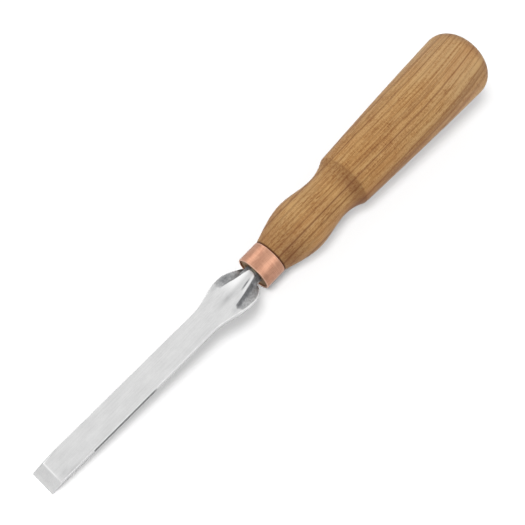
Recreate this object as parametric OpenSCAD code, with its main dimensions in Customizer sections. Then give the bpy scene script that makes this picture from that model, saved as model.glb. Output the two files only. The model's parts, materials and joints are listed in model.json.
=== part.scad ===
// A flat carving chisel, lying on a bench with its bevel up: a forged blade with a tang, a copper
// ferrule, a turned wooden handle, and the glue that holds the tang in the handle's bore.
// Sizes in millimetres. The tool lies along X with its edge towards -X, and the bench is at Z = 0.

/* [Blade] */
// Length from the cutting edge to the mouth of the ferrule
blade_reach = 112.8; // [90:0.1:150]
// Width of the parallel blade
blade_w = 11; // [7:0.1:13]
// Thickness of the parallel blade
blade_t = 2.8; // [2.4:0.1:4.4]
// Height of the blade's flat face above the tool's axis
face_h = 1.4; // [1:0.1:2.8]
// Angle of the bevel, in degrees
bevel_angle = 25.5; // [20:0.5:40]
// Thickness left at the cutting edge
edge_t = 0.2; // [0.1:0.05:0.5]
// Sideways set of the blade against the handle, in degrees
blade_set = 1.2; // [0:0.1:2]

/* [Wings] */
// Width across the two forged wings
wing_w = 17.1; // [14:0.1:22]
// Distance from the widest place of the wings to the mouth of the ferrule
wing_back = 10.5; // [8:0.1:14]
// Distance from the start of the flare to the mouth of the ferrule
flare_back = 28; // [22:0.5:40]
// Width across the wings at their back corners
wing_heel_w = 11.5; // [9.5:0.1:14]
// Slope of the wings' outline as it reaches their back corners
wing_heel_slope = 0.75; // [0.2:0.05:1.2]
// Gap between the back of the wings and the mouth of the ferrule
wing_gap = 2; // [1:0.1:4]
// Distance from the start of the wings' droop to the mouth of the ferrule
droop_back = 9.5; // [7:0.1:14]

/* [Spine] */
// Height of the spine's flat top above the axis, at the ferrule
spine_h = 3.6; // [3:0.05:4]
// Distance from the start of the spine's rise to the mouth of the ferrule
rise_back = 30; // [22:0.5:45]
// Width of the spine's flat top at the ferrule
spine_w = 4.2; // [3:0.1:6]
// Radius of the hollow beside each side of the spine
hollow_r = 4.5; // [3.5:0.1:6]
// Height of each hollow's floor above the axis, at the mouth of the ferrule
hollow_floor_h = -2.3; // [-3:0.1:-1]
// Fall of each hollow towards the ferrule, in degrees
hollow_pitch = 18; // [12:1:25]
// Turn of each hollow away from the axis, in degrees
hollow_yaw = 4; // [0:0.5:8]

/* [Tang] */
// Width of the square tang where it leaves the neck
tang_w = 4.8; // [3.5:0.1:6]
// Width of the square tang at its end
tang_end_w = 2.6; // [1.5:0.1:3.5]
// Length of the tang inside the handle
tang_len = 50; // [30:1:80]
// Width of the neck's flat shoulder that seats on the wood, all round the bore
neck_seat = 0.4; // [0.2:0.05:1]
// Run of the round neck into the back of the wings
neck_run = 2; // [1:0.1:5]

/* [Ferrule] */
// Outer diameter of the ferrule
ferrule_d = 16; // [14:0.1:20]
// Length of the ferrule
ferrule_len = 10; // [6:0.1:16]
// Wall of the ferrule
ferrule_wall = 0.7; // [0.5:0.1:1.5]
// Radius of the ferrule's eased lips
lip_r = 0.3; // [0.1:0.05:0.4]

/* [Handle] */
// Step from the ferrule down to the wood behind it, on the radius
wood_step = 0.2; // [0:0.05:0.5]
// Slope of the wood where it leaves the ferrule
neck_slope = 0.3; // [0:0.05:0.5]
// Diameter of the belly
belly_d = 24; // [20:0.1:30]
// Distance from the ferrule to the belly
belly_at = 18.5; // [12:0.1:26]
// Diameter of the waist
waist_d = 20.2; // [16:0.1:24]
// Distance from the belly to the waist
waist_after = 16.4; // [10:0.1:24]
// Diameter at the crisp edge of the shoulder
shoulder_d = 25.5; // [22:0.1:32]
// Distance from the waist to the shoulder
shoulder_after = 10.4; // [7:0.1:16]
// Slope of the cove where it meets the shoulder
cove_slope = 0.54; // [0.3:0.01:0.9]
// Largest diameter of the grip, where the domed butt starts
butt_d = 32; // [26:0.1:40]
// Length of the grip from the shoulder to the start of the domed butt
grip_len = 73.9; // [50:0.1:110]
// Swell of the grip beyond a straight taper, on the radius
grip_swell = 0.22; // [0:0.02:1]
// Radius of the domed butt's rounded edge
dome_edge_r = 7; // [3:0.1:10]
// Rise of the butt's crown beyond its rounded edge
crown_rise = 1.4; // [0.4:0.1:4]

/* [Joints] */
// Least thickness of the glue, at the corners of the tang
glue_t = 0.2; // [0.1:0.05:0.6]
// Room left past the end of the tang in the bore
bore_room = 3; // [1:0.5:8]
// Distance from the mouth of the ferrule back to the wood's end grain
mouth_depth = 0.6; // [0:0.1:2]
// Clearance between the pressed and glued faces
fit = 0.03; // [0.01:0.01:0.1]

/* [Hidden] */
$fn = 96;

// Points along each curved stretch of an outline
steps = 24;

// How far a cutting shape reaches past what it cuts
overcut = 1;

// Blade, seen from the side
back_h = face_h - blade_t;
bevel_len = (blade_t - edge_t) / tan(bevel_angle);
side_w = wing_w + 2 * blade_reach * sin(blade_set) + 2 * overcut;

// Bore round the square tang's corners, and the neck that seats on the wood round the bore
glue_r = tang_w / sqrt(2) + glue_t;
bore_r = glue_r + fit;
neck_r = bore_r + neck_seat;

// Handle, along the axis from the mouth of the ferrule
belly_x = ferrule_len + belly_at;
waist_x = belly_x + waist_after;
shoulder_x = waist_x + shoulder_after;
dome_x = shoulder_x + grip_len;
dome_len = dome_edge_r + crown_rise;
butt_x = dome_x + dome_len;
ferrule_r = ferrule_d / 2;
spigot_r = ferrule_r - ferrule_wall - fit;
wood_neck_r = ferrule_r - wood_step;
bore_end = mouth_depth + tang_len + bore_room;

// Crown of the butt: one arc across the axis, touching the rounded edge from inside
dome_edge_y = butt_d / 2 - dome_edge_r;
crown_r = (dome_len ^ 2 + dome_edge_y ^ 2 - dome_edge_r ^ 2) / (2 * crown_rise);
crown_x = butt_x - crown_r;
crown_meet = atan2(dome_x - crown_x, dome_edge_y);

// A curve between two points with the slope given at each, as the points after the first
function curve(from, from_slope, to, to_slope) =
    let (run = to.x - from.x, rise = to.y - from.y)
    [for (i = [1 : steps])
        let (t = i / steps, ease = 3 * t ^ 2 - 2 * t ^ 3)
        let (lead = from_slope * (t - 2 * t ^ 2 + t ^ 3), tail = to_slope * (t ^ 3 - t ^ 2))
        [from.x + run * t, from.y + rise * ease + run * (lead + tail)]];

// An arc as the points after its first, with angles measured from straight out towards the butt
function arc(centre, radius, from, to) =
    [for (i = [1 : steps])
        let (a = from + (to - from) * i / steps)
        centre + radius * [sin(a), cos(a)]];

// Outline of the wood from the ferrule to the end of the butt, as distance along the axis and radius
front_curves = concat(
    [[ferrule_len, wood_neck_r]],
    curve([ferrule_len, wood_neck_r], neck_slope, [belly_x, belly_d / 2], 0),
    curve([belly_x, belly_d / 2], 0, [waist_x, waist_d / 2], 0),
    curve([waist_x, waist_d / 2], 0, [shoulder_x, shoulder_d / 2], cove_slope));
grip_curve = [for (i = [1 : steps])
    let (t = i / steps, taper = (butt_d - shoulder_d) / 2)
    [shoulder_x + grip_len * t, shoulder_d / 2 + taper * t + 4 * grip_swell * t * (1 - t)]];
butt_curve = concat(
    arc([dome_x, dome_edge_y], dome_edge_r, 0, crown_meet),
    arc([crown_x, 0], crown_r, crown_meet, 90));
wood_outline = concat(front_curves, grip_curve, butt_curve);

// The bench touches the tool at its edge and at the lowest place of the handle, so it leans by this much
lie_angle = max([for (p = wood_outline) atan2(p.y + back_h, p.x + blade_reach)]);

// Place of the tool over the bench, with the middle of its length over the origin
edge_end = -blade_reach * cos(lie_angle) - back_h * sin(lie_angle);
butt_end = crown_x * cos(lie_angle) + crown_r;
lift = blade_reach * sin(lie_angle) - back_h * cos(lie_angle);

module lay() {
    translate([-(edge_end + butt_end) / 2, 0, lift]) rotate([0, -lie_angle, 0]) children();
}

// A solid turned about the tool's axis from points of distance along the axis and radius
module turned(points) {
    rotate([0, 90, 0]) rotate_extrude() polygon([for (p = points) [p.y, p.x]]);
}

// A round bar along the axis between two places
module bar(r, from, to) {
    translate([from, 0, 0]) rotate([0, 90, 0]) cylinder(r = r, h = to - from);
}

// An outline seen from the side, made a slab across the tool
module side_slab(width, points) {
    rotate([90, 0, 0]) translate([0, 0, -width / 2]) linear_extrude(width) polygon(points);
}

// Plan of the blade and its two wings
module blade_plan() {
    half = concat(
        [[-blade_reach, blade_w / 2], [-flare_back, blade_w / 2]],
        curve([-flare_back, blade_w / 2], 0, [-wing_back, wing_w / 2], 0),
        curve([-wing_back, wing_w / 2], 0, [-wing_gap, wing_heel_w / 2], -wing_heel_slope));
    other_half = [for (i = [len(half) - 1 : -1 : 0]) [half[i].x, -half[i].y]];
    polygon(concat(half, other_half));
}

// Side of the blade: bevel, flat face, rising spine, and the back that droops to the neck
module blade_side() {
    side_slab(side_w, [
        [-blade_reach, back_h],
        [-blade_reach, back_h + edge_t],
        [-blade_reach + bevel_len, face_h],
        [-rise_back, face_h],
        [0, spine_h],
        [mouth_depth, spine_h],
        [mouth_depth, -neck_r],
        [-wing_gap, -neck_r],
        [-droop_back, back_h]]);
}

// The trough forged beside one side of the spine, open upwards
module hollow() {
    reach = flare_back + 2 * hollow_r;
    translate([0, spine_w / 2 + hollow_r, hollow_floor_h + hollow_r])
        rotate([0, hollow_pitch, -hollow_yaw])
            translate([-reach, 0, 0]) {
                rotate([0, 90, 0]) cylinder(r = hollow_r, h = reach + hollow_r);
                translate([0, -hollow_r, 0]) cube([reach + hollow_r, 2 * hollow_r, 2 * hollow_r]);
            }
}

// Square tang, tapering along both of its faces
module tang() {
    taper = [
        [mouth_depth, tang_w / 2],
        [mouth_depth + tang_len, tang_end_w / 2],
        [mouth_depth + tang_len, -tang_end_w / 2],
        [mouth_depth, -tang_w / 2]];
    intersection() {
        side_slab(tang_w, taper);
        translate([0, 0, -tang_w / 2]) linear_extrude(tang_w) polygon(taper);
    }
}

module blade() {
    color("#c6c8ca") lay() {
        intersection() {
            blade_side();
            union() {
                translate([-wing_gap, 0, 0]) rotate([0, 0, -blade_set]) translate([wing_gap, 0, 0])
                    difference() {
                        translate([0, 0, -neck_r]) linear_extrude(neck_r + spine_h) blade_plan();
                        hollow();
                        mirror([0, 1, 0]) hollow();
                    }
                bar(neck_r, -wing_gap - neck_run, mouth_depth);
            }
        }
        tang();
    }
}

module ferrule() {
    inner_r = ferrule_r - ferrule_wall;
    lip_y = ferrule_r - lip_r;
    color("#cf8f6b") lay() turned(concat(
        [[0, inner_r], [0, lip_y]],
        arc([lip_r, lip_y], lip_r, -90, 0),
        [[ferrule_len - lip_r, ferrule_r]],
        arc([ferrule_len - lip_r, lip_y], lip_r, 0, 90),
        [[ferrule_len, inner_r]]));
}

module handle() {
    color("#b98a52") lay() difference() {
        turned(concat(
            [[mouth_depth, 0], [mouth_depth, spigot_r], [ferrule_len, spigot_r]],
            wood_outline));
        bar(bore_r, mouth_depth - overcut, bore_end);
    }
}

module tang_glue() {
    color("#e2d3a0") lay() difference() {
        bar(glue_r, mouth_depth, bore_end);
        tang();
    }
}

blade();
ferrule();
handle();
tang_glue();
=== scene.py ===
"""A flat carving chisel on a white bench: ground steel blade, copper ferrule, turned wooden handle."""

import json
import math

import bmesh
import bpy
from bpy.props import FloatProperty, FloatVectorProperty, IntProperty, PointerProperty
from mathutils import Matrix, Vector


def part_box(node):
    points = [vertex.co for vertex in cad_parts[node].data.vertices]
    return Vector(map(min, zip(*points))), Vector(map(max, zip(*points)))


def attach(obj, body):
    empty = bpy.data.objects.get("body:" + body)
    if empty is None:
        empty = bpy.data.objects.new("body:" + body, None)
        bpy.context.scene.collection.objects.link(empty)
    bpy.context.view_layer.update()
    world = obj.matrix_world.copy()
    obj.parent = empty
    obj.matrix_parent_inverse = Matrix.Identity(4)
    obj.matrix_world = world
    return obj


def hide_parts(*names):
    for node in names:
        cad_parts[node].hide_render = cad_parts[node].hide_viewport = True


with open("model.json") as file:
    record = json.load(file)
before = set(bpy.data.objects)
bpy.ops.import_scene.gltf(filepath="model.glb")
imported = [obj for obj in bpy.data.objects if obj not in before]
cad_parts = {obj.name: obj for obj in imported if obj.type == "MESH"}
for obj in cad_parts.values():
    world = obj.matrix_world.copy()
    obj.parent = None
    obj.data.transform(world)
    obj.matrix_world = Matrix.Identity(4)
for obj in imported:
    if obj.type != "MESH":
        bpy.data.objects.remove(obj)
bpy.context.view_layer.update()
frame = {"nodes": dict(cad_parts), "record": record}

bl_info = {
    "name": "Flat Carving Chisel",
    "version": (1, 0, 0),
    "blender": (4, 5, 0),
    "location": "3D View > Sidebar > Chisel",
    "description": "Models and finishes a flat carving chisel and its studio",
    "category": "Add Mesh",
}

MM = 0.001
# Points closer than this are one point
MERGE = 0.001 * MM
# Width of the narrow strip where one stretch of the blade meets the next
SEAM = 0.02 * MM


def mount_axis(name):
    """Outward direction of one of the part's mounts."""
    return Vector(next(mount["axis"] for mount in frame["record"]["mounts"] if mount["name"] == name))


# The tool lies with its edge on the bench, so its axis leans by this much
FACE_UP = mount_axis("blade_face")
LIE_ANGLE = math.atan2(-FACE_UP.x, FACE_UP.z)
AXIS = Vector((math.cos(LIE_ANGLE), 0, math.sin(LIE_ANGLE)))


def size(name, description, millimetres):
    """A length that a user may change."""
    return FloatProperty(name=name, description=description, default=millimetres * MM,
                         unit="LENGTH", precision=5)


def turn(name, description, degrees):
    """An angle that a user may change."""
    return FloatProperty(name=name, description=description, default=math.radians(degrees),
                         unit="ROTATION")


def number(name, description, value):
    """A plain number that a user may change."""
    return FloatProperty(name=name, description=description, default=value)


def spot(name, description, *millimetres):
    """A point that a user may change."""
    return FloatVectorProperty(name=name, description=description, subtype="XYZ", unit="LENGTH",
                               default=[part * MM for part in millimetres], precision=5)


def tint(name, description, red, green, blue):
    """A colour that a user may change, written as it looks on a screen, from 0 to 255."""
    light = [((part / 255 + 0.055) / 1.055) ** 2.4 for part in (red, green, blue)]
    return FloatVectorProperty(name=name, description=description, default=light,
                               subtype="COLOR", min=0, max=1)


class BladeSizes(bpy.types.PropertyGroup):
    """Sizes of the forged blade, its wings, its neck and its tang."""

    reach: size("Reach", "From the cutting edge to the mouth of the ferrule", 112.8)
    width: size("Width", "Width of the parallel blade", 11)
    face: size("Face height", "Height of the flat face above the axis", 1.4)
    back: size("Back height", "Height of the flat back above the axis", -1.396)
    bevel: turn("Bevel", "Angle of the bevel", 25.5)
    edge: size("Edge", "Thickness left at the cutting edge", 0.2)
    sideways: turn("Sideways set", "Set of the blade to one side of the handle", 1.2)
    wing_width: size("Wing width", "Width across the wings", 17.1)
    wing_back: size("Wing place", "From the widest place of the wings to the ferrule", 10.5)
    flare_back: size("Flare", "From the start of the flare to the ferrule", 28)
    near_heel: size("Near heel", "Half the width at the back corner of the near wing", 5.2)
    near_slope: number("Near slope", "Slope of the near wing's outline at its back corner", 1.2)
    near_gap: size("Near gap", "From the back corner of the near wing to the ferrule", 2.5)
    far_heel: size("Far heel", "Half the width at the back corner of the far wing", 5.6)
    far_slope: number("Far slope", "Slope of the far wing's outline at its back corner", 0.5)
    far_gap: size("Far gap", "From the back corner of the far wing to the ferrule", 0.9)
    heel_round: size("Heel round", "Rounding of the wings' back corners", 0.5)
    wing_gap: size("Wing gap", "From the start of the neck to the ferrule", 2)
    droop_back: size("Droop", "From the start of the wings' droop to the ferrule", 9.5)
    spine: size("Spine height", "Height of the spine's top above the axis at the ferrule", 3.6)
    rise_back: size("Rise", "From the start of the spine's rise to the ferrule", 30)
    spine_half: size("Spine half", "Half the width of the spine's top at the ferrule", 1.55)
    spine_spread: number("Spine spread", "Widening of the spine's half width at the ferrule", 0.285)
    spine_front: size("Spine front", "Half the width of the spine's top at the hollows' front", 4.62)
    spine_slim: size("Spine slim", "Narrowing of the far side of the spine's top", 0.25)
    spine_end: size("Spine end", "Drop at the rounded end of the spine's top", 0.4)
    end_bow: size("End bow", "Bow of the rounded end of the spine's top", 0.4)
    hollow_floor: size("Hollow floor", "Height of the hollow's floor at the ferrule", -2.3)
    hollow_rise: number("Hollow rise", "Rise of the hollow's floor towards the edge", 0.325)
    hollow_wall: size("Hollow wall", "Width of the wall from the spine down to the hollow's floor", 1.8)
    hollow_front: size("Hollow front", "From the front of the hollows to the ferrule", 14.4)
    hollow_lip: size("Hollow lip", "Rise of the hollow's floor towards the wing's rim", 0.2)
    far_fade: size("Far fade", "Half the length over which the far hollow starts", 1.6)
    near_fade: size("Near fade", "Half the length over which the near hollow starts", 0.6)
    near_bow: size("Near bow", "Bow of the round front of the near hollow", 0.7)
    near_bow_at: size("Near bow place", "Place of that bow across the blade", -6.1)
    near_bow_half: size("Near bow half", "Half the width of that bow", 0.9)
    neck: size("Neck radius", "Radius of the round neck", 4.02)
    neck_run: size("Neck run", "Run of the neck into the back of the wings", 2)
    tang: size("Tang", "Width of the square tang at the neck", 4.8)
    tang_end: size("Tang end", "Width of the square tang at its end", 2.6)
    tang_length: size("Tang length", "Length of the tang in the handle", 50)
    eased: size("Eased edge", "Rounding of the blade's long edges", 0.2)
    worn: size("Worn corner", "Added rounding of the far long edge beside the bevel", 0.8)
    heel_soft: size("Bevel heel", "Softness of the ridge at the heel of the bevel", 0.1)
    soft: size("Forging", "Softness of the forged ridges", 0.25)
    crease: size("Crease", "Depth of the crease left on the spine by the grinding", 0.12)
    crease_half: size("Crease half", "Half the width of that crease", 0.32)


class FerruleSizes(bpy.types.PropertyGroup):
    """Sizes of the copper ferrule."""

    radius: size("Radius", "Outer radius of the ferrule", 8)
    length: size("Length", "Length of the ferrule", 10)
    wall: size("Wall", "Wall of the ferrule", 0.7)
    lip: size("Lip", "Rounding of the ferrule's outer lips", 0.3)
    inner_lip: size("Inner lip", "Rounding of the ferrule's inner lips", 0.15)


class HandleSizes(bpy.types.PropertyGroup):
    """Sizes of the turned handle."""

    mouth: size("Mouth", "From the mouth of the ferrule back to the end grain", 0.6)
    spigot: size("Spigot", "Radius of the spigot under the ferrule", 7.27)
    bore: size("Bore", "Radius of the bore for the tang", 3.624)
    bore_end: size("Bore end", "From the mouth of the ferrule to the bottom of the bore", 53.6)
    neck: size("Neck", "Radius of the wood behind the ferrule", 7.8)
    neck_slope: number("Neck slope", "Slope of the wood behind the ferrule", 0.3)
    groove: size("Groove", "Depth of the fine groove behind the ferrule", 0.45)
    belly: size("Belly", "Radius of the belly", 11.99)
    belly_at: size("Belly place", "From the mouth of the ferrule to the belly", 28.5)
    waist: size("Waist", "Radius of the waist", 10.1)
    waist_at: size("Waist place", "From the mouth of the ferrule to the waist", 44.9)
    shoulder: size("Shoulder", "Radius at the shoulder's edge", 12.75)
    shoulder_at: size("Shoulder place", "From the mouth of the ferrule to the shoulder", 55.3)
    shoulder_round: size("Shoulder round", "Easing of the shoulder's edge", 0.35)
    cove_slope: number("Cove slope", "Slope of the cove at the shoulder", 0.54)
    butt: size("Butt", "Largest radius of the grip, where the dome starts", 15.98)
    dome_at: size("Dome place", "From the mouth of the ferrule to the dome", 129.2)
    swell: size("Swell", "Swell of the grip beyond a straight taper", 0.22)
    dome_edge: size("Dome edge", "Radius of the dome's rounded edge", 7)
    crown_rise: size("Crown rise", "Rise of the dome's crown beyond its rounded edge", 1.4)


class Finishes(bpy.types.PropertyGroup):
    """Colours of the finishes."""

    steel: tint("Ground steel", "Steel where it is ground", 221, 221, 221)
    # Painted highlights on the bevel's heel, the edge, the spine and the near side take this colour.
    highlight_steel: tint("Burnished steel", "Steel where it is rubbed bright", 246, 246, 246)
    forged: tint("Forged steel", "Steel where the hammer left it", 199, 200, 201)
    # Also the colour of painted shade at the neck, the spine's end, the hollows' walls and the far
    # edge, and, darker, of the painted shadow line on the near side.
    scale: tint("Scale", "Dark scale at the neck and beside the spine", 113, 114, 116)
    copper: tint("Copper", "Turned copper", 205, 156, 130)
    # Painted highlights on the ferrule's lips take this colour.
    copper_highlight: tint("Bright copper", "Copper where the lips are rubbed bright", 232, 192, 170)
    copper_dull: tint("Dull copper", "Copper that has dulled a little", 175, 125, 102)
    wood_light: tint("Light wood", "Early wood between the growth lines", 205, 164, 110)
    wood: tint("Wood", "Body of the wood", 179, 131, 80)
    wood_dark: tint("Dark wood", "Late wood along the growth lines", 124, 74, 42)
    end_grain: tint("End grain", "End grain of the wood", 120, 78, 44)
    glue: tint("Glue", "Set epoxy round the tang", 222, 205, 152)


class StageSizes(bpy.types.PropertyGroup):
    """Places of the camera, the lamps and the bench."""

    azimuth: turn("Azimuth", "Camera's turn about the upright", -47.24)
    elevation: turn("Elevation", "Camera's height above the horizon", 65.57)
    distance: size("Distance", "From the camera to the point it looks at", 342.7)
    aim: spot("Aim", "Point that the camera looks at", -6.18, 0.70, 10)
    sensor: size("Sensor", "Width of the camera's sensor", 36)
    lens: size("Lens", "Focal length of the camera's lens", 58.26)
    sky: number("Sky", "Light of the room all round", 0.62)
    sky_mirrored: number("Mirrored sky", "Light of the room overhead as metal mirrors it", 1.0)
    horizon_mirrored: number("Mirrored horizon", "Light of the room low down as metal mirrors it", 0.6)
    overhead: number("Overhead", "Share of the way up at which the mirrored room is overhead", 0.55)
    left_lamp: number("Left lamp", "Brightness of the wide lamp on the left", 2.6)
    left_lamp_at: spot("Left lamp place", "Place of the wide lamp on the left", -350, 500, 650)
    right_lamp: number("Right lamp", "Brightness of the wide lamp on the right", 2.2)
    right_lamp_at: spot("Right lamp place", "Place of the wide lamp on the right", 450, -400, 620)
    lamp_side: size("Lamp side", "Length of each side of a wide lamp", 500)
    left_card: number("Left card", "Brightness of the card that metal mirrors on the left", 1.15)
    left_card_at: spot("Left card place", "Place of the card on the left", 50, 850, 600)
    right_card: number("Right card", "Brightness of the card that metal mirrors on the right", 1.35)
    right_card_at: spot("Right card place", "Place of the card on the right", -100, -650, 780)
    card_length: size("Card length", "Length of a card", 900)
    card_height: size("Card height", "Height of a card", 500)
    bench_sun: number("Bench sun", "Brightness of each of the two suns that light the bench alone", 2.1)
    blade_sun_spread: turn("Blade sun", "Width of the sun that casts the blade's shadow", 32)
    blade_sun_at: spot("Blade sun side", "Side that the blade's sun shines from", 0, 240, 1000)
    handle_sun_spread: turn("Handle sun", "Width of the sun that casts the handle's shadow", 20)
    handle_sun_at: spot("Handle sun side", "Side that the handle's sun shines from", -350, -20, 1000)
    bench_half: size("Bench half", "Half the length of the square bench", 4000)
    bench: number("Bench", "Share of the light that the bench gives back to the tool", 0.153)
    bench_seen: number("Seen bench", "Whiteness of the bench as the camera sees it", 0.213)
    bench_mirrored: number("Mirrored bench", "Whiteness of the bench as metal mirrors it", 0.187)


class ChiselSettings(bpy.types.PropertyGroup):
    """All the settings of the chisel and its studio."""

    blade: PointerProperty(type=BladeSizes)
    ferrule: PointerProperty(type=FerruleSizes)
    handle: PointerProperty(type=HandleSizes)
    finish: PointerProperty(type=Finishes)
    stage: PointerProperty(type=StageSizes)
    round_steps: IntProperty(name="Round steps", description="Steps round a turned piece",
                             default=128, min=24)
    curve_steps: IntProperty(name="Curve steps", description="Steps along a curve of an outline",
                             default=24, min=6)


def settings():
    """The chisel's settings in this scene."""
    return bpy.context.scene.chisel


def mouth_place():
    """Middle of the ferrule's mouth, on the tool's axis."""
    low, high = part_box("ferrule")
    return (low + high) / 2 - AXIS * settings().ferrule.length / 2


def lying():
    """Takes a piece from the tool's own axis, with the ferrule's mouth at the origin, to the bench."""
    return Matrix.Translation(mouth_place()) @ Matrix.Rotation(-LIE_ANGLE, 4, "Y")


# Small shape functions


def eased_between(place, start, start_slope, end, end_slope):
    """Height at a place on the curve between two points with the slope given at each."""
    run = end[0] - start[0]
    rise = end[1] - start[1]
    t = (place - start[0]) / run
    ease = 3 * t ** 2 - 2 * t ** 3
    lead = start_slope * (t - 2 * t ** 2 + t ** 3)
    tail = end_slope * (t ** 3 - t ** 2)
    return start[1] + rise * ease + run * (lead + tail)


def spaced(start, end, steps):
    """Even places from a start to an end, with both of them."""
    return [start + (end - start) * step / steps for step in range(steps + 1)]


def curve(start, start_slope, end, end_slope):
    """Points after the first on the curve between two points."""
    places = spaced(start[0], end[0], settings().curve_steps)[1:]
    return [(place, eased_between(place, start, start_slope, end, end_slope)) for place in places]


def arc(centre, radius, first, last):
    """Points after the first on an arc, with angles in degrees from straight out towards the butt."""
    angles = [math.radians(angle) for angle in spaced(first, last, settings().curve_steps)[1:]]
    return [(centre[0] + radius * math.sin(a), centre[1] + radius * math.cos(a)) for a in angles]


def lower(first, second, soft):
    """The lower of two heights, with the corner between them softened."""
    near = max(soft - abs(first - second), 0) / soft
    return min(first, second) - near ** 2 * soft / 4


def higher(first, second, soft):
    """The higher of two heights, with the corner between them softened."""
    return -lower(-first, -second, soft)


def faded(value, low, high):
    """0 below one value and 1 above another, smooth between them."""
    t = min(max((value - low) / (high - low), 0), 1)
    return t * t * (3 - 2 * t)


def faded_mm(value, low, high):
    """0 below one limit and 1 above another, for a value in metres and limits in millimetres."""
    return faded(value / MM, low, high)


def piece_from(bm, name, material, node):
    """Turns a shape on the tool's axis into a finished piece that stands for its CAD node."""
    bmesh.ops.remove_doubles(bm, verts=bm.verts, dist=MERGE)
    bmesh.ops.recalc_face_normals(bm, faces=bm.faces)
    bmesh.ops.transform(bm, matrix=lying(), verts=bm.verts)
    mesh = bpy.data.meshes.new(name)
    bm.to_mesh(mesh)
    bm.free()
    mesh.shade_smooth()
    mesh.materials.append(material)
    piece = bpy.data.objects.new(name, mesh)
    bpy.context.scene.collection.objects.link(piece)
    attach(piece, "root")
    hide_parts(node)


def turned(points, closed):
    """A shape turned about the axis from points of distance along the axis and radius."""
    bm = bmesh.new()
    verts = [bm.verts.new((along, 0, radius)) for along, radius in points]
    pairs = list(zip(verts, verts[1:]))
    if closed:
        pairs.append((verts[-1], verts[0]))
    edges = [bm.edges.new(pair) for pair in pairs]
    bmesh.ops.spin(bm, geom=verts + edges, cent=(0, 0, 0), axis=(1, 0, 0), angle=2 * math.pi,
                   steps=settings().round_steps, use_merge=True)
    return bm


# Material nodes


class Wire:
    """An output socket, on which Python operators add Math nodes."""

    def __init__(self, finish, socket):
        self.finish = finish
        self.socket = socket

    def __getitem__(self, name):
        return Wire(self.finish, self.socket.node.outputs[name])

    def maths(self, operation, *values):
        return self.finish.node("ShaderNodeMath", {"operation": operation}, dict(enumerate(values)))

    def __add__(self, other):
        return self.maths("ADD", self, other)

    def __radd__(self, other):
        return self.maths("ADD", other, self)

    def __sub__(self, other):
        return self.maths("SUBTRACT", self, other)

    def __rsub__(self, other):
        return self.maths("SUBTRACT", other, self)

    def __mul__(self, other):
        return self.maths("MULTIPLY", self, other)

    def __truediv__(self, other):
        return self.maths("DIVIDE", self, other)

    def __rtruediv__(self, other):
        return self.maths("DIVIDE", other, self)

    def __abs__(self):
        return self.maths("ABSOLUTE", self)

    def most(self, other):
        return self.maths("MAXIMUM", self, other)

    def least(self, other):
        return self.maths("MINIMUM", self, other)


class Finish:
    """A node tree being built, for a material or the sky."""

    def __init__(self, tree):
        self.tree = tree
        self.tree.nodes.clear()

    def node(self, kind, choices=None, sockets=None):
        """Adds a node, sets its choices, then its sockets, and gives its first output in use."""
        made = self.tree.nodes.new(kind)
        for name, value in (choices or {}).items():
            setattr(made, name, value)
        for name, value in (sockets or {}).items():
            socket = made.inputs[name] if isinstance(name, int) else self.named(made, name)
            if isinstance(value, Wire):
                self.tree.links.new(value.socket, socket)
            else:
                socket.default_value = value
        return Wire(self, next((out for out in made.outputs if out.enabled), None))

    @staticmethod
    def named(made, name):
        return next(socket for socket in made.inputs if name in (socket.identifier, socket.name))

    def tool_place(self, roll=0):
        """Place on the tool in millimetres: along the axis from the ferrule's mouth, across and up."""
        here = self.node("ShaderNodeTexCoord")["Object"]
        return self.node("ShaderNodeMapping", {"vector_type": "TEXTURE"}, {
            "Vector": here,
            "Location": mouth_place(),
            "Rotation": (roll, -LIE_ANGLE, 0),
            "Scale": (MM, MM, MM),
        })

    def parts(self, vector):
        """The three numbers of a vector."""
        split = self.node("ShaderNodeSeparateXYZ", None, {"Vector": vector})
        return split["X"], split["Y"], split["Z"]

    def joined(self, x, y, z):
        """A vector from three numbers."""
        return self.node("ShaderNodeCombineXYZ", None, {"X": x, "Y": y, "Z": z})

    def painted(self, name):
        """A share that is kept on the piece's vertices."""
        return self.node("ShaderNodeAttribute", {"attribute_name": name})["Fac"]

    def noise(self, vector, grain, detail=2.0, warp=0.0):
        """Noise from 0 to 1 whose grain has the given length along each axis, in millimetres."""
        scaled = self.node("ShaderNodeVectorMath", {"operation": "DIVIDE"}, {0: vector, 1: grain})
        return self.node("ShaderNodeTexNoise", {"noise_dimensions": "3D"}, {
            "Vector": scaled,
            "Scale": 1.0,
            "Detail": detail,
            "Roughness": 0.55,
            "Distortion": warp,
        })

    def swing(self, vector, grain, detail=2.0):
        """Noise from -0.5 to 0.5."""
        return self.noise(vector, grain, detail) - 0.5

    def fade(self, value, low, high):
        """0 below one value and 1 above another, smooth between them."""
        return self.node("ShaderNodeMapRange", {"interpolation_type": "SMOOTHSTEP"}, {
            "Value": value, "From Min": low, "From Max": high, "To Min": 0.0, "To Max": 1.0})

    def blend(self, share, first, second):
        """A colour between two, by a share from 0 to 1."""
        ends = {"A_Color": first, "B_Color": second}
        sockets = {name: part if isinstance(part, Wire) else (*part, 1) for name, part in ends.items()}
        sockets["Factor_Float"] = share
        return self.node("ShaderNodeMix", {"data_type": "RGBA"}, sockets)["Result"]

    def bump(self, height, strength, depth):
        """A normal bent by a height, with the depth in millimetres."""
        sockets = {"Height": height, "Strength": strength, "Distance": depth * MM}
        return self.node("ShaderNodeBump", None, sockets)

    def surface(self, sockets):
        """Ends the material in one Principled surface."""
        shader = self.node("ShaderNodeBsdfPrincipled", None, sockets)
        self.node("ShaderNodeOutputMaterial", None, {"Surface": shader})


def new_finish(name):
    """An empty material and the builder of its nodes."""
    material = bpy.data.materials.new(name)
    material.use_nodes = True
    return material, Finish(material.node_tree)


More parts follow.
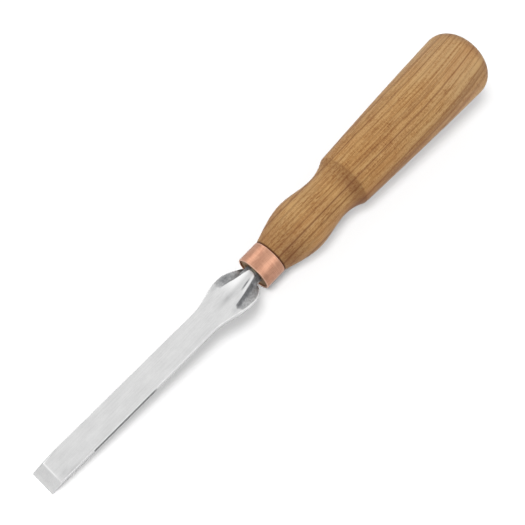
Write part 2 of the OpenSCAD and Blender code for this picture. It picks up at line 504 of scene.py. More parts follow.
def dimmed(colour, *shares):
    """A colour times one share, or each of its three parts times its own."""
    if len(shares) == 1:
        shares = shares * len(colour)
    return [part * share for part, share in zip(colour, shares)]


def bell(away):
    """1 at a place, and less and less away from it."""
    return 1 / (1 + away * away)


def steel_finish():
    """Ground steel with fine lengthwise lines, rougher and darker where it is still forged, darker with
    scale and painted shade, and lighter with painted highlights.
    """
    look = settings().finish
    material, finish = new_finish("ground_steel")
    place = finish.tool_place()
    forged = finish.painted("forged")
    scale = finish.painted("scale")
    bright = finish.painted("bright")
    lines = finish.noise(place, (12, 0.3, 0.3), detail=3)
    cloud = finish.noise(place, (7, 3.5, 3.5), detail=4)
    pits = finish.noise(place, (1.0, 0.8, 0.8), detail=4)
    grit = finish.swing(place, (0.7, 0.55, 0.55))
    worn = finish.fade(lines, 0.3, 0.75) * 0.45 + finish.fade(cloud, 0.35, 0.7) * 0.35 + grit * 0.6
    ground = finish.blend(worn, look.steel, dimmed(look.steel, 0.82))
    # Painted highlights on the bevel's heel, the edge, the spine and the near side
    ground = finish.blend(bright, ground, look.highlight_steel)
    mottled = finish.fade(pits, 0.3, 0.7)
    rough = finish.blend(mottled * 0.8, look.forged, dimmed(look.forged, 0.5))
    dark_scale_and_shade = finish.blend(mottled, dimmed(look.scale, 1.5), look.scale)
    # Shares above 1, as in the painted shadow line on the near side, go near black
    dark_scale_and_shade = finish.blend((scale - 1).most(0), dark_scale_and_shade, dimmed(look.scale, 0.15))
    colour = finish.blend(scale.least(1), finish.blend(forged, ground, rough), dark_scale_and_shade)
    height = lines * (1 - forged) * 0.4 + pits * forged
    finish.surface({
        "Base Color": colour,
        "Metallic": 1 - scale.most(forged).least(1) * 0.5,
        "Roughness": 0.32 + lines * 0.12 + forged * 0.12,
        "Normal": finish.bump(height, strength=0.35, depth=0.02),
    })
    return material


# Shade on the copper behind its near lip: length, place across and half its width, in millimetres
COPPER_SHADE = (4, -4, 2)


def copper_finish():
    """Turned copper with fine lines round it, dulled in soft patches, with painted shade behind its
    near lip and painted highlights on its lips.
    """
    look = settings().finish
    material, finish = new_finish("turned_copper")
    place = finish.tool_place()
    along, across = finish.parts(place)[:2]
    lines = finish.noise(place, (0.16, 9, 9), detail=3)
    patches = finish.noise(place, (3.2, 3.2, 3.2), detail=3, warp=0.4)
    brushed = finish.swing(place, (4, 0.25, 0.25), detail=3)
    dull = finish.fade(lines, 0.35, 0.75) * 0.5 + finish.fade(patches, 0.4, 0.7) * 0.4 + brushed * 1.3
    body = finish.blend(dull, look.copper, look.copper_dull)
    length, middle, half = COPPER_SHADE
    shade = (1 - finish.fade(along, 0, length)) * bell((across - middle) / half)
    body = finish.blend(shade * 0.4, body, dimmed(look.copper_dull, 0.6))
    # Painted highlights along both lips
    half_length = settings().ferrule.length / MM / 2
    lip_highlight = finish.fade(abs(along - half_length), half_length - 0.5, half_length - 0.2)
    finish.surface({
        "Base Color": finish.blend(lip_highlight * 0.6, body, look.copper_highlight),
        "Metallic": 1.0,
        "Roughness": 0.34 + lines * 0.14,
        "Normal": finish.bump(lines, strength=0.3, depth=0.02),
    })
    return material


# Growth lines of the wood, the first of which darkens along the handle's lower edge: offset across the
# grain in millimetres, width in millimetres, and strength
GROWTH_LINES = (
    (-14.8, 1.00, 0.40),
    (-12.7, 0.50, 0.30),
    (-12.0, 1.60, 0.36),
    (-10.8, 0.42, 0.40),
    (-7.9, 0.38, 0.20),
    (-5.7, 0.36, 0.48),
    (-4.6, 0.34, 0.12),
    (-2.65, 0.38, 0.66),
    (0.3, 0.42, 0.40),
    (1.95, 0.34, 0.32),
    (3.7, 0.34, 0.34),
    (5.3, 0.34, 0.22),
    (7.1, 0.34, 0.36),
    (9.7, 0.36, 0.52),
    (11.1, 0.34, 0.28),
    (12.9, 0.38, 0.48),
)
# Pale bands between them, in the same way
PALE_BANDS = (
    (-9.2, 1.00, 0.50),
    (-6.7, 0.60, 0.30),
    (-1.3, 0.80, 0.50),
    (2.8, 0.50, 0.35),
    (6.1, 0.60, 0.40),
    (8.2, 0.80, 0.55),
)
# Darker figure, partly wood and partly painted shade at the belly's front, the waist's lower edge, the
# cove and the grip's lower edge: place along and across the grain, length and width in millimetres, and
# strength
DARK_FIGURE_AND_SHADE = (
    (14.0, -5.8, 7.0, 6.5, 0.85),
    (46.5, -10.2, 8.5, 1.8, 1.15),
    (52.5, -3.5, 3.2, 8.0, 0.75),
    (66.0, 0.5, 12.0, 2.2, 0.25),
    (78.0, -14.5, 12.0, 1.5, 0.90),
    (92.0, 0.6, 14.0, 2.5, 0.22),
    (131.0, 9.5, 5.0, 5.0, 0.30),
)
# Paler places on the grain, in the same way
PALE_FIGURE = (
    (28.0, -11.6, 6.0, 2.2, 0.45),
    (32.0, 8.2, 16.0, 2.5, 0.20),
    (120.0, -3.5, 9.0, 7.0, 0.20),
    (130.0, -10.0, 5.0, 4.0, 0.35),
)
GRAIN_ROLL = math.radians(16.8)
# Stretches of the handle over which its wood changes, in millimetres from the ferrule's mouth
COARSE_FRONT = (44, 60)
PALER_GRIP = (70, 125)
DUSTY_BUTT = (96, 120)
# Start and run of the sweep of the grain towards the butt, in the same way
SWEEP = (95, 33)
# Middle and half length of the golden stretch at the shoulder, in the same way
GOLDEN = (57, 12)


def bands_at(layer, bands):
    """Sum of soft bands across the grain."""
    total = 0.0
    for offset, width, strength in bands:
        near = bell((layer - offset) / width)
        total = total + near * near * strength
    return total


def patches_at(along, layer, patches):
    """Sum of soft patches on the grain."""
    total = 0.0
    for middle, offset, long, wide, strength in patches:
        ahead = (along - middle) / long
        beside = (layer - offset) / wide
        near = 1 / (1 + ahead * ahead + beside * beside)
        total = total + near * near * strength
    return total


class Grain:
    """The grain of the handle's wood, as nodes of its material."""

    def __init__(self, finish):
        self.finish = finish
        self.place = finish.tool_place(GRAIN_ROLL)
        self.along, across, deep = finish.parts(self.place)
        self.layer = across - self.sweep(across) + self.wander()
        self.grain = finish.joined(self.along, self.layer, deep)
        self.front = 1 - finish.fade(self.along, *COARSE_FRONT)
        self.lines = bands_at(self.layer, GROWTH_LINES)
        self.fibres = finish.swing(self.grain, (30, 0.3, 0.4))
        self.pores = finish.fade(finish.noise(self.grain, (2.6, 0.22, 0.22)), 0.62, 0.74)

    def sweep(self, across):
        """How far the layers lean aside towards the butt."""
        start, run = SWEEP
        late = ((self.along - start) / run).most(0)
        less_on_far_side = across.most(-6) * 0.11
        return late * late * (2.0 - less_on_far_side)

    def wander(self):
        """Slow drift and wobble of the layers."""
        drift = self.finish.swing(self.place, (45, 20, 30), detail=1)
        wobble = self.finish.swing(self.place, (16, 5, 5))
        return drift * 0.7 + wobble * 0.3

    def tone(self):
        """How pale the wood is between the growth lines, from about 0 to 1."""
        finish = self.finish
        bands = finish.swing(self.grain, (70, 2.4, 14))
        streaks = finish.swing(self.grain, (90, 0.4, 0.5), detail=1)
        dashes = finish.swing(self.grain, (9, 0.35, 0.4))
        flecks = finish.swing(self.grain, (0.5, 1.0, 1.0), detail=3)
        ripple = finish.swing(self.grain, (3.2, 3.0, 3.0))
        pale = bands_at(self.layer, PALE_BANDS)
        tone = 0.62 + bands * 0.2 + streaks + self.fibres * 1.6 + ripple * 0.15
        tone = tone + dashes * (0.5 + self.front * 0.6) + flecks * (1.4 - self.front * 0.35)
        tone = tone + pale * 0.26 - self.pores * 0.25 + self.front * 0.06
        tone = tone + patches_at(self.along, self.layer, PALE_FIGURE)
        return tone + finish.fade(self.along, *PALER_GRIP) * 0.1

    def early_wood(self, look):
        """Colour of the wood between the growth lines."""
        finish = self.finish
        tone = self.tone()
        dark_side = finish.blend(finish.fade(tone, 0.0, 0.5), look.wood_dark, look.wood)
        colour = finish.blend(finish.fade(tone, 0.4, 1.0), dark_side, look.wood_light)
        warm = finish.noise(self.place, (40, 9, 9))
        reddish = dimmed(look.wood, 1.0, 0.87, 0.8)
        return finish.blend(finish.fade(warm, 0.45, 0.75) * 0.5, colour, reddish)

    def late_wood_and_shade(self):
        """Share of late wood: the growth lines and the darker figure, with painted shade in places."""
        lines = self.lines * (1.1 + self.fibres * 0.6) * (1 + self.front * 0.3)
        figure_and_shade = patches_at(self.along, self.layer, DARK_FIGURE_AND_SHADE)
        return (lines + figure_and_shade * 0.6).least(0.9)

    def hued(self, colour):
        """A colour made golden at the shoulder, dusty towards the butt and a little uneven all over."""
        finish = self.finish
        uneven = finish.swing(self.grain, (25, 2.5, 3))
        middle, half = GOLDEN
        golden = bell((self.along - middle) / half)
        dusty = finish.fade(self.along, *DUSTY_BUTT)
        red, green, blue = finish.parts(colour)
        green = green * (1 + uneven * 0.12 - golden * 0.035 + dusty * 0.035)
        blue = blue * (0.97 + uneven * 0.3 - golden * 0.1 + dusty * 0.15)
        return finish.joined(red, green, blue)

    def with_ends(self, colour, look):
        """A colour with end grain where the wood is cut across, and painted shade in the gap beside the
        ferrule.
        """
        finish = self.finish
        facing = finish.node("ShaderNodeNewGeometry")["Normal"]
        slope = finish.node("ShaderNodeVectorMath", {"operation": "DOT_PRODUCT"}, {0: facing, 1: AXIS})
        colour = finish.blend(abs(slope).least(0.5) * 0.75, colour, look.end_grain)
        mouth = settings().handle.mouth / MM
        end = 1 - finish.fade(self.along, mouth + 0.1, mouth + 0.3)
        dusty_end = dimmed(look.wood, 0.68, 0.85, 1.3)
        colour = finish.blend(end * 0.8, colour, dusty_end)
        ferrule_end = settings().ferrule.length / MM
        # Painted shade in the gap just behind the ferrule
        gap_shade = (1 - finish.fade(self.along, ferrule_end + 0.4, ferrule_end + 0.9)) * (1 - end)
        return finish.blend(gap_shade * 0.85, colour, dimmed(look.wood_dark, 0.5))


def wood_finish():
    """Oiled straight-grained wood: growth lines along the handle, fibres, pores and flecks."""
    look = settings().finish
    material, finish = new_finish("oiled_wood")
    grain = Grain(finish)
    colour = finish.blend(grain.late_wood_and_shade(), grain.early_wood(look), look.wood_dark)
    colour = grain.with_ends(grain.hued(colour), look)
    height = grain.fibres * 0.5 - grain.pores - grain.lines * 0.2
    finish.surface({
        "Base Color": colour,
        "Roughness": 0.5 - grain.fibres * 0.2 + grain.pores * 0.15,
        "Specular IOR Level": 0.2,
        "Normal": finish.bump(height, strength=0.35, depth=0.06),
    })
    return material


def glue_finish():
    """Set epoxy, clear amber with faint streaks."""
    look = settings().finish
    material, finish = new_finish("set_epoxy")
    streaks = finish.noise(finish.tool_place(), (6, 1.5, 1.5), detail=3)
    finish.surface({
        "Base Color": finish.blend(streaks, look.glue, dimmed(look.glue, 0.8)),
        "Roughness": 0.25 + streaks * 0.1,
    })
    return material


# Stretches along the blade over which its surface, its painted highlights and its painted shade change,
# in millimetres from the ferrule's mouth
WORN_CORNER = (-107, -101)
SIDE_SHADOW_LINE = (-91.2, -60.5)
FAR_HOLLOW_DULLS = (-18, -10)
RIM_BRIGHTENS = (-17, -14)
SPINE_BRIGHTENS = (-15, -7)
FAR_WALL_DARKENS = (-13, -8)
STRIP_BRIGHTENS = (-10, -8)
SPINE_NARROWS = (-10, -7)
NECK_DARKENS = (-3.5, -1.5)
SPINE_ENDS = (-0.35, 0.05)
# Ends of the crease on the spine, along and across the blade in millimetres
CREASE = ((-9, -2.2), (-2.6, -1.2))
# Faint grey smudges on the face: place along and across, length and width in millimetres, and strength
SMUDGES = (
    (-15.0, -0.4, 2.6, 0.8, 0.3),
    (-11.5, -0.3, 8.0, 1.5, 0.14),
    (-104.0, -3.3, 2.0, 1.1, 0.22),
    (-101.5, -5.1, 3.8, 0.6, 0.3),
    (-102.5, 5.2, 1.6, 0.5, 0.25),
    (-66.0, 4.5, 8.0, 1.3, 0.09),
    (-43.0, 4.5, 5.0, 1.3, 0.12),
    (-13.2, -6.6, 1.2, 1.6, 0.5),
    (-16.3, -6.0, 1.4, 1.0, 0.22),
    (-15.5, 6.6, 1.8, 0.9, 0.25),
    (-9.4, 7.0, 3.2, 1.4, 0.8),
    (-4.8, 4.7, 2.8, 0.9, 0.6),
)


class BladeShape:
    """Heights and widths of the forged blade at any place on it."""

    plain_steps = 24
    wing_steps = 160
    between_steps = 10

    def __init__(self, sizes):
        self.sizes = sizes

    def heel(self, y):
        """Place along the blade, half width and slope at the back corner of the wing on one side."""
        blade = self.sizes
        if y < 0:
            return -blade.near_gap, blade.near_heel, -blade.near_slope
        return -blade.far_gap, blade.far_heel, -blade.far_slope

    def on_neck(self, x, y):
        """Whether a place is behind the wing on its side, where only the round neck is left."""
        return x > self.heel(y)[0] + self.sizes.heel_round

    def half_width(self, x, y):
        """Half the blade's width on one side."""
        blade = self.sizes
        half = blade.width / 2
        if x <= -blade.flare_back:
            return half
        widest = (-blade.wing_back, blade.wing_width / 2)
        if x <= -blade.wing_back:
            return eased_between(x, (-blade.flare_back, half), 0, widest, 0)
        heel, half, slope = self.heel(y)
        if x <= heel:
            return eased_between(x, widest, 0, (heel, half), slope)
        past = min((x - heel) / blade.heel_round, 1)
        return blade.neck + (half - blade.neck) * math.sqrt(1 - past ** 2)

    def bevel_heel(self):
        """Place along the blade where the bevel meets the flat face."""
        blade = self.sizes
        return -blade.reach + (blade.face - blade.back - blade.edge) / math.tan(blade.bevel)

    def plain_top(self, x):
        """Height of the bevel, the flat face and the rising spine."""
        blade = self.sizes
        rise = blade.spine + x * (blade.spine - blade.face) / blade.rise_back
        face = higher(blade.face, rise, blade.soft)
        bevel = blade.back + blade.edge + (x + blade.reach) * math.tan(blade.bevel)
        return lower(face, bevel, blade.heel_soft)

    def past_spine(self, x, y):
        """Distance outwards from the edge of the spine's top."""
        blade = self.sizes
        ferrule_end = (0, blade.spine_half)
        front = (-blade.hollow_front, blade.spine_front)
        half = eased_between(x, ferrule_end, -blade.spine_spread, front, -blade.spine_spread / 2)
        if y > 0:
            half -= blade.spine_slim * faded_mm(x, *SPINE_NARROWS)
        return abs(y) - half

    def down_wall(self, x, y):
        """How far a place is down the wall beside the spine: 0 at its top and 1 at its foot."""
        return max(self.past_spine(x, y) / self.sizes.hollow_wall, 0)

    def in_hollow(self, x, y):
        """1 along the hollows and 0 ahead of them; the far one starts slowly, the near one is round."""
        blade = self.sizes
        front = -blade.hollow_front
        if y > 0:
            return faded(x, front - blade.far_fade, front + blade.far_fade)
        front -= blade.near_bow * math.exp(-((y - blade.near_bow_at) / blade.near_bow_half) ** 2)
        return faded(x, front - blade.near_fade, front + blade.near_fade)

    def hollow(self, x, y):
        """Height of the hollow's surface beside the spine."""
        blade = self.sizes
        plain = self.plain_top(x)
        floor = min(blade.hollow_floor - x * blade.hollow_rise, plain)
        down = self.down_wall(x, y)
        wall = (1 - min(down, 1)) ** 2 * (plain - floor + blade.soft)
        lip = blade.hollow_lip * max(down - 1, 0) ** 2 / 4
        return plain - (plain - floor - wall - lip) * self.in_hollow(x, y)

    def in_neck(self, x, y):
        """Height of the round neck's surface, or nothing where it doesn't reach."""
        blade = self.sizes
        if x < -blade.wing_gap - blade.neck_run or abs(y) >= blade.neck:
            return None
        return math.sqrt(blade.neck ** 2 - y ** 2)

    def past_end(self, x, y):
        """0 on the spine's top and 1 past its rounded end, beside the ferrule."""
        side = min(abs(y) / self.sizes.spine_half, 1.2)
        return faded_mm(x + self.sizes.end_bow * side ** 2, *SPINE_ENDS)

    def top(self, x, y):
        """Height of the upper side."""
        blade = self.sizes
        plain = self.plain_top(x)
        height = lower(plain, self.hollow(x, y), blade.soft)
        neck = self.in_neck(x, y)
        if neck is None:
            return height
        cap = min(plain, blade.spine) - blade.spine_end * self.past_end(x, y)
        if self.on_neck(x, y):
            return min(neck, cap)
        return max(height, min(neck, cap))

    def bottom(self, x, y):
        """Height of the underside."""
        blade = self.sizes
        if self.on_neck(x, y):
            return -self.in_neck(x, y)
        fall = (blade.back + blade.neck) / (blade.droop_back - blade.wing_gap)
        droop = blade.back - (x + blade.droop_back) * fall
        return max(lower(blade.back, droop, blade.soft), -blade.neck)

    def crease(self, x, y):
        """How near a place is to the crease that the grinding left: 1 in it and 0 away from it."""
        start, end = [Vector(place) * MM for place in CREASE]
        run = end - start
        here = Vector((x, y)) - start
        share = here.dot(run) / run.length_squared
        if not 0 < share < 1:
            return 0
        away = (here - run * share).length / self.sizes.crease_half
        return math.exp(-away ** 2) * math.sin(math.pi * share)

    def stations(self):
        """Places along the blade at which its section is drawn, from the edge to the neck."""
        blade = self.sizes
        heel = self.bevel_heel()
        bevel = heel + blade.reach
        on_bevel = [share * bevel - blade.reach for share in (0, 0.06, 0.3, 0.6, 0.85, 0.95)]
        at_heel = [heel + offset * MM for offset in (-0.14, -0.07, 0, 0.07, 0.14, 0.5)]
        plain_end = -blade.rise_back - 4 * MM
        plain = spaced(heel, plain_end, self.plain_steps)[1:-1]
        plain = sorted(plain + [(SIDE_SHADOW_LINE[0] + offset) * MM for offset in (-0.3, 0, 0.3)])
        wings = spaced(plain_end, -blade.near_gap, self.wing_steps)
        turns = [math.radians(angle) for angle in (20, 40, 60, 75, 85, 90)]
        near_turn = [-blade.near_gap + blade.heel_round * math.sin(a) for a in turns]
        between = spaced(near_turn[-1] + SEAM, -blade.far_gap, self.between_steps)
        far_turn = [-blade.far_gap + blade.heel_round * math.sin(a) for a in turns]
        neck = [far_turn[-1] + SEAM]
        neck += [far_turn[-1] + offset * MM for offset in (0.15, 0.3, 0.45, 0.7, 1.0)]
        return on_bevel + at_heel + plain + wings + near_turn + between + far_turn + neck


class BladeMarksAndLight:
    """How far a place on the blade is as forged, dark with scale or painted shade, or lit with painted
    highlights.
    """

    def __init__(self, shape):
        self.shape = shape
        self.sizes = shape.sizes

    def forged(self, x, y, z):
        """Share as forged: the hollows and the spine's end, and half where it is out of sight."""
        shape = self.shape
        well_under = (shape.top(min(x, 0), 0) + self.sizes.back) / 2 - 2 * MM
        in_handle = x > 0.5 * MM
        if z < well_under or in_handle:
            return 0.5
        hollow = faded_mm(shape.past_spine(x, y), 0, 0.3) * shape.in_hollow(x, y)
        if y > 0:
            hollow *= faded_mm(x, *FAR_HOLLOW_DULLS)
        if x < -self.sizes.wing_gap - MM:
            from_rim = shape.half_width(x, y) - abs(y)
            hollow *= faded_mm(from_rim, 0.2, 0.5)
        return max(hollow, shape.past_end(x, y))

    def dark_scale_and_shade(self, x, y, z):
        """Share dark: scale and painted shade beside the spine and round the neck, smudges, and a
        painted shadow along the near side.
        """
        shape = self.shape
        from_near_side = shape.half_width(x, y) + y
        if from_near_side < 0.1 * MM:
            return self.side_shadow_line(x, z)
        down = shape.down_wall(x, y)
        past_ridge = faded(down, 0, 0.15)
        # Partly forged scale and partly painted shade on the wall beside the spine
        wall = past_ridge * (1 - faded(down, 0.5, 1.2)) * shape.in_hollow(x, y)
        if y > 0:
            wall *= 0.5 * faded_mm(x, *FAR_WALL_DARKENS)
        # Partly scale and partly painted shade at the neck and past the spine's end, beside the ferrule
        neck = max(faded_mm(x, *NECK_DARKENS) * past_ridge, shape.past_end(x, y) * 0.4)
        return min(max(wall, neck * 1.1) + self.smudged(x, y), 1.2)

    def side_shadow_line(self, x, z):
        """Share of painted shadow along the dark line low on the near side, which starts sharply and
        ends softly.
        """
        start, end = SIDE_SHADOW_LINE
        along = (x / MM - start > -0.2) * (1 - faded_mm(x, end, end + 1.5))
        below_face = 1 - faded_mm(z - self.sizes.face, -0.5, -0.2)
        return 2 * along * below_face

    def smudged(self, x, y):
        """Sum of the smudges, the crease and the painted shade along the far edge."""
        # Painted shade along the far edge
        far_edge_shade = faded_mm(y - self.shape.half_width(x, y), -0.3, -0.05)
        total = 1.2 * self.shape.crease(x, y) + 0.25 * far_edge_shade
        for middle_x, middle_y, long, wide, strength in SMUDGES:
            away = ((x / MM - middle_x) / long) ** 2 + ((y / MM - middle_y) / wide) ** 2
            total += strength * math.exp(-away)
        return total

    def bright(self, x, y):
        """Share of painted highlight: the bevel's heel, the edge, the spine and the near side."""
        from_heel = abs(x - self.shape.bevel_heel())
        on_heel = (1 - faded_mm(from_heel, 0.12, 0.34)) * (0.35 + 0.5 * faded_mm(y, -4, -1))
        on_edge = 1 - faded_mm(x + self.sizes.reach, 0.2, 0.4)
        return max(on_heel, on_edge, self.bright_spine(x, y), self.bright_side(x, y))

    def bright_spine(self, x, y):
        """Share of painted highlight on the spine's top: its far half, and a strip along its near edge.
        """
        past = self.shape.past_spine(x, y)
        share = faded_mm(y, -0.3, 1.8)
        if y < 0:
            strip = faded_mm(past, -1.0, -0.7) * faded_mm(x, *STRIP_BRIGHTENS)
            share = max(share, 0.45 * strip)
        return share * faded_mm(x, *SPINE_BRIGHTENS) * (1 - faded_mm(past, -0.2, 0))

    def bright_side(self, x, y):
        """Share of painted reflection on the near side and painted highlight on the wing's rim: less
        beside the painted shadow line and more on the wing.
        """
        if x >= -self.sizes.wing_gap:
            return 0
        start, end = SIDE_SHADOW_LINE
        share = 0.25 if start < x / MM < end else 0.5
        share += 0.5 * faded_mm(x, *RIM_BRIGHTENS)
        return share * faded_mm(-y - self.shape.half_width(x, y), -0.15, 0)


class CHISEL_OT_blade(bpy.types.Operator):
    """Lofts the blade, its wings, neck and tang, section by section along the tool"""

    bl_idname = "chisel.blade"
    bl_label = "Blade"

    across_steps = 96
    under_steps = 32
    corner_steps = 3

    def execute(self, context):
        blade = settings().blade
        shape = BladeShape(blade)
        marks_and_light = BladeMarksAndLight(shape)
        sections = [self.section(shape, x) for x in shape.stations()]
        sections += self.tang_sections(shape)
        bm = bmesh.new()
        # Shares kept on the vertices: forged finish, scale with painted shade, and painted highlights
        forged = bm.verts.layers.float.new("forged")
        scale = bm.verts.layers.float.new("scale")
        bright = bm.verts.layers.float.new("bright")
        rows = len(sections) - 1
        ring = len(sections[0])
        bmesh.ops.create_grid(bm, x_segments=rows, y_segments=ring, size=0.5)
        for vert in bm.verts:
            row = round((vert.co.x + 0.5) * rows)
            place = round((vert.co.y + 0.5) * ring) % ring
            x, y, z = sections[row][place]
            vert[forged] = marks_and_light.forged(x, y, z)
            vert[scale] = marks_and_light.dark_scale_and_shade(x, y, z)
            vert[bright] = marks_and_light.bright(x, y)
            vert.co = (x, y, z)
        lean = Matrix.Identity(4)
        lean[1][0] = -math.tan(blade.sideways)
        lean[1][3] = -blade.wing_gap * math.tan(blade.sideways)
        ahead = [vert for vert in bm.verts if vert.co.x < -blade.wing_gap]
        bmesh.ops.transform(bm, matrix=lean, verts=ahead)
        bmesh.ops.remove_doubles(bm, verts=bm.verts, dist=MERGE)
        bmesh.ops.holes_fill(bm, edges=[edge for edge in bm.edges if edge.is_boundary], sides=0)
        piece_from(bm, "blade_forged", steel_finish(), "blade")
        return {"FINISHED"}

    def section(self, shape, x):
        """Points round the blade at one place: over the top, down one side, under and up the other."""
        blade = shape.sizes
        near, near_eased = self.flat_edge(shape, x, -1)
        far, far_eased = self.flat_edge(shape, x, 1)
        over = spaced(-near, far, self.across_steps)
        over = [(x, y, shape.top(x, y) - blade.crease * shape.crease(x, y)) for y in over]
        under = spaced(far, -near, self.under_steps)
        under = [(x, y, shape.bottom(x, y)) for y in under]
        right = self.side(x, far, far_eased, over[-1][2], under[0][2])
        left = self.side(x, near, near_eased, over[0][2], under[-1][2])
        left = [(x, -y, z) for x, y, z in reversed(left)]
        return over + right + under + left

    @staticmethod
    def flat_edge(shape, x, way):
        """Distance out to the end of the flat top on one side, and the rounding beyond it."""
        blade = shape.sizes
        half = shape.half_width(x, way)
        if shape.on_neck(x, way):
            eased = SEAM
        else:
            inside = way * half * 0.97
            thickness = shape.top(x, inside) - shape.bottom(x, inside)
            worn = blade.worn * (1 - faded_mm(x, *WORN_CORNER)) if way > 0 else 0
            eased = min(blade.eased + worn, thickness * 0.4)
        return half - eased, eased

    def side(self, x, flat, eased, high, low):
        """Points down one side, with its two long edges eased."""
        turns = spaced(0, math.pi / 2, self.corner_steps)[1:]
        upper = [(x, flat + eased * math.sin(a), high - eased * (1 - math.cos(a))) for a in turns]
        below = [(x, y, low + high - z) for x, y, z in reversed(upper)]
        return upper + below

    def tang_sections(self, shape):
        """Sections of the square tang, with as many points as the blade's sections."""
        blade = shape.sizes
        seat = shape.stations()[-1]
        made = []
        for x, half in ((seat, blade.tang / 2), (seat + blade.tang_length, blade.tang_end / 2)):
            over = [(x, y, half) for y in spaced(-half, half, self.across_steps)]
            down = [(x, half, z) for z in spaced(half, -half, 2 * self.corner_steps + 1)[1:-1]]
            under = [(x, y, -half) for y in spaced(half, -half, self.under_steps)]
            up = [(x, -half, -z) for x, y, z in down]
            made.append(over + down + under + up)
        return made


class CHISEL_OT_ferrule(bpy.types.Operator):
    """Turns the copper ferrule, with all its lips eased"""

    bl_idname = "chisel.ferrule"
    bl_label = "Ferrule"

    def execute(self, context):
        ferrule = settings().ferrule
        inner = ferrule.radius - ferrule.wall
        outer_lip = ferrule.radius - ferrule.lip
        inner_lip = inner + ferrule.inner_lip
        points = [(0, inner_lip), (0, outer_lip)]
        points += arc((ferrule.lip, outer_lip), ferrule.lip, -90, 0)
        points += [(along, ferrule.radius) for along in spaced(0, ferrule.length, 8)[1:-1]]
        points += [(ferrule.length - ferrule.lip, ferrule.radius)]
        points += arc((ferrule.length - ferrule.lip, outer_lip), ferrule.lip, 0, 90)
        points += [(ferrule.length, inner_lip)]
        points += arc((ferrule.length - ferrule.inner_lip, inner_lip), ferrule.inner_lip, 90, 180)
        points += [(ferrule.inner_lip, inner)]
        points += arc((ferrule.inner_lip, inner_lip), ferrule.inner_lip, 180, 270)[:-1]
        shape = turned(points, closed=True)
        piece_from(shape, "ferrule_turned", copper_finish(), "ferrule")
        return {"FINISHED"}


class CHISEL_OT_handle(bpy.types.Operator):
    """Turns the handle: spigot, groove, belly, waist, shoulder, grip and domed butt"""

    bl_idname = "chisel.handle"
    bl_label = "Handle"

    def execute(self, context):
        shape = turned(self.outline(), closed=False)
        piece_from(shape, "handle_turned", wood_finish(), "handle")
        return {"FINISHED"}

    def outline(self):
        """Points along the handle, from the bottom of the bore out and back to the end of the butt."""
        wood = settings().handle
        ferrule_end = settings().ferrule.length
        points = [(wood.bore_end, 0), (wood.bore_end, wood.bore), (wood.mouth, wood.bore)]
        points += [(wood.mouth, wood.spigot), (ferrule_end, wood.spigot)]
        start = (ferrule_end + wood.groove, wood.neck + wood.groove * wood.neck_slope)
        groove_lip = (start[0] - 0.1 * MM, start[1] - 0.06 * MM)
        points += [groove_lip, start]
        belly = (wood.belly_at, wood.belly)
        waist = (wood.waist_at, wood.waist)
        shoulder = (wood.shoulder_at, wood.shoulder)
        points += curve(start, wood.neck_slope, belly, 0)
        points += curve(belly, 0, waist, 0)
        points += self.eased_shoulder(curve(waist, 0, shoulder, wood.cove_slope))
        points += self.grip()
        points += self.dome()
        return points

    def eased_shoulder(self, cove):
        """The cove's points, with its last corner cut to a small round towards the grip."""
        wood = settings().handle
        run = wood.shoulder_round
        corner = Vector((wood.shoulder_at, wood.shoulder))
        first = corner - Vector((1, wood.cove_slope)).normalized() * run
        last = Vector(self.on_grip(run))
        shares = spaced(0, 1, 6)
        ease = [first * (1 - t) ** 2 + corner * 2 * t * (1 - t) + last * t ** 2 for t in shares]
        return [point for point in cove if point[0] < first.x] + [tuple(point) for point in ease]

    def on_grip(self, past_shoulder):
        """Point on the grip at a distance past the shoulder."""
        wood = settings().handle
        t = past_shoulder / (wood.dome_at - wood.shoulder_at)
        radius = wood.shoulder + (wood.butt - wood.shoulder) * t + 4 * wood.swell * t * (1 - t)
        return wood.shoulder_at + past_shoulder, radius

    def grip(self):
        """Points along the grip from past the eased shoulder to the dome."""
        wood = settings().handle
        length = wood.dome_at - wood.shoulder_at
        places = spaced(wood.shoulder_round, length, 2 * settings().curve_steps)[1:]
        return [self.on_grip(past_shoulder) for past_shoulder in places]

    def dome(self):
        """Points over the butt: its rounded edge, then the crown across the axis."""
        wood = settings().handle
        edge_height = wood.butt - wood.dome_edge
        length = wood.dome_edge + wood.crown_rise
        crown = (length ** 2 + edge_height ** 2 - wood.dome_edge ** 2) / (2 * wood.crown_rise)
        middle = wood.dome_at + length - crown
        meet = math.degrees(math.atan2(wood.dome_at - middle, edge_height))
        edge = arc((wood.dome_at, edge_height), wood.dome_edge, 0, meet)
        return edge + arc((middle, 0), crown, meet, 90)


class CHISEL_OT_glue(bpy.types.Operator):
    """Gives the glue round the tang its finish"""

    bl_idname = "chisel.glue"
    bl_label = "Glue"

    def execute(self, context):
        node = frame["nodes"]["tang_glue"]
        node.data.materials.clear()
        node.data.materials.append(glue_finish())
        return {"FINISHED"}


